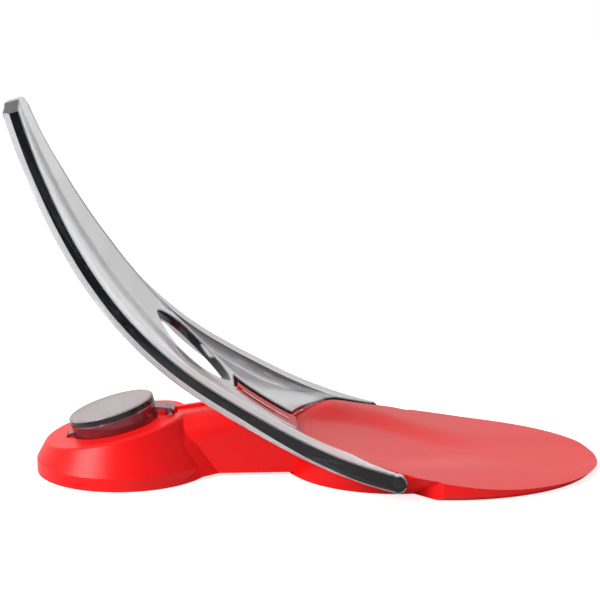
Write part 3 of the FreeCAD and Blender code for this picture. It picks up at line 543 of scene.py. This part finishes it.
def outline():
    """Half outline of the lever from tip to blade slot: (angle, y, kind of its next edge)."""
    corner = TIP_ANGLE - math.degrees(TIP_CORNER[1] / ARC_TOP)
    end = HINGE_ANGLE - EYE_SPAN
    trim = math.degrees(TOP_EDGE / ARC_TOP)
    inside = fork_edge()
    inside.append((end, inside[-1][1] + FORK_FLARE))
    across = spaced([(end, half_width(end) - TOP_EDGE), inside[-1]], END_STEP)[1:]
    inside.reverse()
    slot = [inside[-1], (SLOT_ANGLE, SLOT_HALF_WIDTH), (SLOT_ANGLE, 0.0)]
    runs = ((tip_edge(corner), INNER), (rail_side(corner, trim), OUTER),
            (end_corner(end, trim), END), (across, END), (spaced(inside, FORK_STEP), INNER),
            (spaced(slot, FORK_STEP) + [slot[-1]], INNER))
    return [(a, y, kind) for run, kind in runs for a, y in run]


def smooth_spot(p, t):
    """Point at share t of a smooth curve between the middle two of four points."""
    return 0.5 * (2 * p[1] + (p[2] - p[0]) * t
                  + (2 * p[0] - 5 * p[1] + 4 * p[2] - p[3]) * t ** 2
                  + (3 * p[1] - p[0] - 3 * p[2] + p[3]) * t ** 3)


def window_outline():
    """Egg-shaped window as a smooth closed chain."""
    spots = list(WINDOW) + [(a, -y) for a, y in WINDOW[-2:0:-1]]
    chain = []
    for i in range(len(spots)):
        four = [np.array(spots[(i + k) % len(spots)]) for k in (-1, 0, 1, 2)]
        for t in np.arange(0.0, 1.0, WINDOW_STEP):
            down, y = smooth_spot(four, t)
            chain.append((WINDOW_ANGLE - math.degrees(down / ARC_TOP), y))
    return chain


def borders():
    """The two closed borders as arrays of (length along, y), with a kind per edge."""
    half = outline()
    kinds = [kind for a, y, kind in half]
    kinds = kinds[:-1] + kinds[-2::-1]
    other = [(a, -y) for a, y, kind in reversed(half)]
    ring = [(a, y) for a, y, kind in half[:-1]] + other[:-1]
    outside = np.array([(along(a), y) for a, y in ring])
    hole = np.array([(along(a), y) for a, y in window_outline()])
    return [(outside, np.array(kinds)), (hole, np.full(len(hole), INNER))]


# ---- flat mesh of the lever ----------------------------------------------------------------
def edge_distance(points, starts, ends):
    """Shortest distance from each point to a set of straight edges."""
    best = np.full(len(points), 1e9)
    way = ends - starts
    length = np.maximum((way ** 2).sum(1), 1e-12)
    for i in range(0, len(points), CHUNK):
        chunk = points[i:i + CHUNK, None, :] - starts[None]
        share = np.clip((chunk * way[None]).sum(2) / length[None], 0.0, 1.0)
        off = chunk - share[..., None] * way[None]
        best[i:i + CHUNK] = np.sqrt((off ** 2).sum(2)).min(1)
    return best


def is_inside(points, starts, ends):
    """Even-odd test against all border edges at once."""
    odd = np.zeros(len(points), dtype=bool)
    for a, b in zip(starts, ends):
        if a[1] == b[1]:
            continue
        spans = (a[1] > points[:, 1]) != (b[1] > points[:, 1])
        at = a[0] + (points[:, 1] - a[1]) * (b[0] - a[0]) / (b[1] - a[1])
        odd ^= spans & (points[:, 0] < at)
    return odd


def inset(ring, distance):
    """A border moved sideways by a distance."""
    before = ring - np.roll(ring, 1, axis=0)
    after = np.roll(ring, -1, axis=0) - ring
    before /= np.linalg.norm(before, axis=1)[:, None]
    after /= np.linalg.norm(after, axis=1)[:, None]
    normal = np.stack([-(before + after)[:, 1], (before + after)[:, 0]], axis=1)
    size = np.maximum((normal ** 2).sum(1), MITRE)
    return ring + 2.0 * distance * normal / size[:, None]


def turns_left(ring):
    """Whether a closed border runs anticlockwise."""
    after = np.roll(ring, -1, axis=0)
    return (ring[:, 0] * after[:, 1] - after[:, 0] * ring[:, 1]).sum() > 0


def support_lines():
    """Lines along the lever where it bends, each the values of y at ROWS, for one side."""
    wide, band, crease, _, valley = station(ROWS)[:5]
    inner = wide - band
    run = wall_run(valley)
    slope = inner - run - crease
    lines = [wide - band * share for share in BAND_LINES]
    lines += [inner - run * (1 - math.cos(math.radians(turn))) for turn in FILLET_LINES]
    lines += [inner - run - slope * k / SLOPE_LINES for k in range(1, SLOPE_LINES + 1)]
    return lines + [crease * share for share in FLOOR_LINES]


def add_chain(points, edges, spots, keep, closed):
    """Add the kept spots to the points, with an edge between each two neighbours."""
    index = []
    for spot, good in zip(spots, keep):
        index.append(len(points) if good else -1)
        if good:
            points.append(spot)
    pairs = list(zip(index, index[1:]))
    if closed:
        pairs.append((index[-1], index[0]))
    edges.extend(pair for pair in pairs if min(pair) >= 0)


def plan_mesh():
    """Flat triangle mesh of the lever in (length along, y), with lines where it bends."""
    outside, hole = borders()
    rings = (outside[0], hole[0])
    starts = np.concatenate(rings)
    ends = np.concatenate([np.roll(ring, -1, axis=0) for ring in rings])
    points = []
    edges = []
    for ring, left in zip(rings, (True, False)):
        add_chain(points, edges, ring, np.ones(len(ring), dtype=bool), True)
        way = 1.0 if turns_left(ring) == left else -1.0
        for distance in LOOPS:
            moved = inset(ring, way * distance)
            keep = edge_distance(moved, starts, ends) > LOOP_ROOM * distance
            add_chain(points, edges, moved, keep & is_inside(moved, starts, ends), True)
    for line in support_lines():
        for side in (1, -1):
            spots = np.stack([along(ROWS), side * line], axis=1)
            near = edge_distance(spots, starts, ends) < LINE_REACH
            keep = is_inside(spots, starts, ends) | near
            add_chain(points, edges, spots, keep, False)
    made = delaunay_2d_cdt([Vector(p) for p in points], edges, [], 0, MERGE)
    flat = np.array([tuple(v) for v in made[0]])
    faces = np.array(made[2])
    faces = faces[is_inside(flat[faces].mean(axis=1), starts, ends)]
    return flat, faces, starts, ends, np.concatenate([outside[1], hole[1]])


# ---- solid mesh of the lever ---------------------------------------------------------------
def rounding(distance, radius):
    """Drop of a rounded edge at a distance in from it."""
    near = np.clip(radius - distance, 0.0, radius)
    return radius - np.sqrt(np.maximum(radius ** 2 - near ** 2, 0.0))


def lever_mesh():
    """Closed mesh: the plan laid on the upper and lower surfaces, joined round its borders."""
    flat, faces, starts, ends, kinds = plan_mesh()
    angle = np.degrees(flat[:, 0] / ARC_TOP)
    y = flat[:, 1]
    side = edge_distance(flat, starts[kinds == OUTER], ends[kinds == OUTER])
    rest = edge_distance(flat, starts[kinds == INNER], ends[kinds == INNER])
    high = top_radius(angle, y)
    low = low_radius(angle, y)
    thick = EDGE_SHARE * (low - high)
    chamfer = np.interp(angle, CHAMFER_ANGLES, (TOP_EDGE, LOW_EDGE))
    drop = np.maximum(rounding(side, TOP_EDGE), rounding(rest, TOP_EDGE))
    lift = np.maximum(np.clip(chamfer - side, 0.0, chamfer), rounding(rest, HOLE_EDGE))
    half = round_end(angle, y)
    eye = angle < HINGE_ANGLE
    high = np.where(eye, ARC_MIDDLE - half, high + np.minimum(drop, thick))
    low = np.where(eye, ARC_MIDDLE + half, low - np.minimum(lift, thick))
    low = np.maximum(low, high)
    turn = np.radians(angle)
    sheets = [np.stack([ARC_X - r * np.sin(turn), y, ARC_Z - r * np.cos(turn)], axis=1)
              for r in (high, low)]
    bevelled = side[faces].max(axis=1) < BEVEL_ROOM * chamfer[faces].mean(axis=1)
    polygons, looks = close_up(faces, bevelled, angle < TIP_ANGLE - TIP_FACE_SPAN)
    return clean_mesh(np.concatenate(sheets) * MM, polygons, looks)


def round_end(angle, y):
    """Half thickness of the round end, rounded off towards its outer side."""
    inward = np.maximum(FORK_HALF_WIDTH - np.abs(y), 0.0)
    trimmed = EYE_RADIUS - rounding(inward, TOP_EDGE)
    run = np.radians(HINGE_ANGLE - angle) * ARC_TOP
    return np.sqrt(np.maximum(trimmed ** 2 - run ** 2, 0.0))


def close_up(faces, bevelled, below_tip):
    """Polygons and materials of both sheets and of the walls that join their borders."""
    count = len(below_tip)
    used = {}
    for a, b, c in faces:
        for pair in ((a, b), (b, c), (c, a)):
            used.setdefault((min(pair), max(pair)), []).append(pair)
    polygons = [tuple(int(i) for i in f) for f in faces]
    polygons += [tuple(int(i) + count for i in reversed(f)) for f in faces]
    # faces under the rail's bevel take the look with the painted highlight
    looks = [CLEAR] * len(faces) + [CHAMFER if flag else CLEAR for flag in bevelled]
    for pairs in used.values():
        if len(pairs) == 1:
            a, b = (int(i) for i in pairs[0])
            polygons.append((b, a, a + count, b + count))
            # border walls take the painted shade: near-black at the sides, dark grey at the tip's
            # end face
            looks.append(WALL if below_tip[a] or below_tip[b] else TIP)
    return polygons, looks


def clean_mesh(places, polygons, looks):
    """Mesh without doubled or loose points, its faces turned outward."""
    mesh = bpy.data.meshes.new("lever_skin")
    mesh.from_pydata([tuple(p) for p in places], [], polygons)
    mesh.polygons.foreach_set("material_index", looks)
    work = bmesh.new()
    work.from_mesh(mesh)
    bmesh.ops.remove_doubles(work, verts=work.verts, dist=WELD)
    bmesh.ops.dissolve_degenerate(work, edges=work.edges, dist=SLIVER)
    loose = [v for v in work.verts if not v.link_faces]
    bmesh.ops.delete(work, geom=loose, context="VERTS")
    bmesh.ops.recalc_face_normals(work, faces=work.faces)
    work.to_mesh(mesh)
    work.free()
    return mesh


def pin_tool(side):
    """Cylinder that bores the fork for one hinge pin."""
    mesh = bpy.data.meshes.new("pin_tool")
    work = bmesh.new()
    bmesh.ops.create_cone(work, cap_ends=True, segments=BORE_SEGMENTS, radius1=BORE_RADIUS * MM,
                          radius2=BORE_RADIUS * MM, depth=BORE_LENGTH * MM)
    work.to_mesh(mesh)
    work.free()
    tool = bpy.data.objects.new("pin_tool", mesh)
    tool.rotation_euler = Euler((math.pi / 2, 0.0, 0.0))
    tool.location = (HINGE_X * MM, side * (BORE_END - BORE_LENGTH / 2) * MM, HINGE_Z * MM)
    bpy.context.scene.collection.objects.link(tool)
    return tool


def bore_for_pin(skin, side):
    """Cut one hinge pin's bore out of the skin."""
    tool = pin_tool(side)
    bore = skin.modifiers.new("bore", "BOOLEAN")
    bore.operation = "DIFFERENCE"
    bore.solver = "EXACT"
    bore.object = tool
    ready = bpy.data.meshes.new_from_object(
        skin.evaluated_get(bpy.context.evaluated_depsgraph_get()))
    skin.modifiers.clear()
    skin.data = ready
    bpy.data.objects.remove(tool)


def lever_skin(looks):
    """The lever's smooth skin, put in the place of the CAD lever."""
    skin = bpy.data.objects.new("lever_skin", lever_mesh())
    for look in looks:
        skin.data.materials.append(look)
    bpy.context.scene.collection.objects.link(skin)
    for side in (1, -1):
        bore_for_pin(skin, side)
    skin.data.shade_smooth()
    skin.data.set_sharp_from_angle(angle=math.radians(SHARP_ANGLE))
    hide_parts("lever")
    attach(skin, "press_lever")


# ---- webs between the neck and the scoop's outer wall, under the lever's floor -------------
def shoulder_section(x):
    """Section of a web at x: closed (y, z) points with a rounded outer edge."""
    start, end = SHOULDER_X
    centre, long_half, wide_half = SCOOP
    share = min(1.0, SHOULDER_SWEEP * (x - start) / (end - start))
    top = np.interp(x, *SHOULDER_TOP)
    low = top - SHOULDER_THICK
    outer = NECK_SIDE + SHOULDER_REACH * math.sin(share * math.pi / 2)
    wall = math.sqrt(max(0.0, 1.0 - ((centre - x) / long_half) ** 2)) * wide_half
    inner = max(NECK_SIDE - SHOULDER_SINK[0], wall - SHOULDER_SINK[1])
    bend = min(SHOULDER_BEND, SHOULDER_BEND_SHARE * (outer - inner))
    spots = [(inner, top)]
    for height, turns in ((top - bend, (90, 60, 30, 0)), (low + bend, (0, -30, -60, -90))):
        spots += [(outer - bend + bend * math.cos(math.radians(t)),
                   height + bend * math.sin(math.radians(t))) for t in turns]
    return spots + [(inner, low)]


def shoulder_mesh(side):
    """Closed mesh through the web's sections."""
    rings = [[(x * MM, side * y * MM, z * MM) for y, z in shoulder_section(x)]
             for x in np.linspace(*SHOULDER_X, SHOULDER_RINGS)]
    count = len(rings[0])
    last = (len(rings) - 1) * count
    polygons = [tuple(range(count)), tuple(range(last, last + count))]
    for i in range(len(rings) - 1):
        for k in range(count):
            a, b = i * count + k, i * count + (k + 1) % count
            polygons.append((a, b, b + count, a + count))
    mesh = bpy.data.meshes.new("neck_shoulder")
    mesh.from_pydata([spot for ring in rings for spot in ring], [], polygons)
    work = bmesh.new()
    work.from_mesh(mesh)
    bmesh.ops.recalc_face_normals(work, faces=work.faces)
    work.to_mesh(mesh)
    work.free()
    return mesh


def shoulder(side, look):
    """Thin curved web that joins one side of the neck to the scoop's outer wall."""
    mesh = shoulder_mesh(side)
    mesh.materials.append(look)
    mesh.shade_smooth()
    mesh.set_sharp_from_angle(angle=math.radians(SHOULDER_SHARP))
    piece = bpy.data.objects.new("neck_shoulder_%s" % ("left" if side > 0 else "right"), mesh)
    bpy.context.scene.collection.objects.link(piece)
    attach(piece, "base")


# ---- floor, world, lamp and camera ---------------------------------------------------------
def seen_directly(nodes, links, path):
    """1 for camera rays and for rays through clear plastic, otherwise 0."""
    return math_node(nodes, links, "MAXIMUM", path.outputs["Is Camera Ray"],
                     path.outputs["Is Transmission Ray"])


def make_world():
    """White all round for what is seen directly; mirrored light is darker from the front."""
    world = bpy.data.worlds.new("studio")
    bpy.context.scene.world = world
    world.use_nodes = True
    nodes = world.node_tree.nodes
    links = world.node_tree.links
    nodes.clear()
    way = split_vector(nodes, links, coordinates(nodes, "Generated"))
    mirrored = scaled(nodes, links, way["Y"], *FRONT_DARK)
    mirrored = math_node(nodes, links, "MULTIPLY_ADD", mirrored,
                         BACK_LIGHT - FRONT_LIGHT, FRONT_LIGHT)
    path = nodes.new("ShaderNodeLightPath")
    seen = seen_directly(nodes, links, path)
    level = math_node(nodes, links, "MULTIPLY_ADD", seen, 1.0 - AMBIENT, AMBIENT)
    step = math_node(nodes, links, "SUBTRACT", mirrored, level)
    level = math_node(nodes, links, "MULTIPLY_ADD", step, path.outputs["Is Glossy Ray"], level)
    light = nodes.new("ShaderNodeBackground")
    light.inputs[0].default_value = (1.0, 1.0, 1.0, 1.0)
    put(links, light.inputs[1], level)
    out = nodes.new("ShaderNodeOutputWorld")
    links.new(light.outputs[0], out.inputs["Surface"])


def floor_white():
    """Pale matt floor that also glows where it is seen directly, so that it looks white."""
    mat = bpy.data.materials.new("floor_white")
    mat.use_nodes = True
    nodes = mat.node_tree.nodes
    links = mat.node_tree.links
    nodes.clear()
    matte = nodes.new("ShaderNodeBsdfDiffuse")
    matte.inputs[0].default_value = FLOOR_GREY
    glow = nodes.new("ShaderNodeEmission")
    seen = seen_directly(nodes, links, nodes.new("ShaderNodeLightPath"))
    put(links, glow.inputs[1], math_node(nodes, links, "MULTIPLY", seen, FLOOR_GLOW))
    add = nodes.new("ShaderNodeAddShader")
    links.new(matte.outputs[0], add.inputs[0])
    links.new(glow.outputs[0], add.inputs[1])
    out = nodes.new("ShaderNodeOutputMaterial")
    links.new(add.outputs[0], out.inputs["Surface"])
    return mat


def make_floor():
    """Wide floor at the height of the pads' lower faces."""
    mesh = bpy.data.meshes.new("floor")
    r = FLOOR_REACH
    mesh.from_pydata([(-r, -r, 0), (r, -r, 0), (r, r, 0), (-r, r, 0)], [], [(0, 1, 2, 3)])
    mesh.materials.append(floor_white())
    floor = bpy.data.objects.new("floor", mesh)
    bpy.context.scene.collection.objects.link(floor)


def make_lamp():
    """One large soft lamp at the upper left."""
    data = bpy.data.lights.new("key", "AREA")
    data.shape = "RECTANGLE"
    data.size = LAMP_SIZE
    data.size_y = LAMP_SIZE
    data.energy = LAMP_POWER
    lamp = bpy.data.objects.new("key", data)
    lamp.location = LAMP_AT
    way = Vector(LAMP_AIM) - Vector(LAMP_AT)
    lamp.rotation_euler = way.to_track_quat("-Z", "Y").to_euler()
    bpy.context.scene.collection.objects.link(lamp)


def make_camera():
    """Camera at the photograph's viewing angle."""
    data = bpy.data.cameras.new("camera")
    data.lens = CAMERA_LENS
    data.sensor_width = CAMERA_SENSOR
    data.clip_start = CAMERA_NEAR
    cam = bpy.data.objects.new("camera", data)
    cam.location = CAMERA_AT
    cam.rotation_euler = Euler((math.radians(CAMERA_TILT), 0.0, math.radians(CAMERA_TURN)))
    bpy.context.scene.collection.objects.link(cam)
    bpy.context.scene.camera = cam


# ---- the model and its scene ---------------------------------------------------------------
RED = red_plastic()
dress(["base_shell"], RED)
for web_side in (1, -1):
    shoulder(web_side, RED)
lever_skin([smoke(**look) for look in LEVER_LOOKS])
dress(["piercer_lid"], lid_smoke_painted_light())
for look, colour, rough, metallic, names in FINISHES:
    dress(names, plain(look, colour, rough, metallic))
make_world()
make_floor()
make_lamp()
make_camera()
bpy.context.scene.view_settings.view_transform = "Standard"
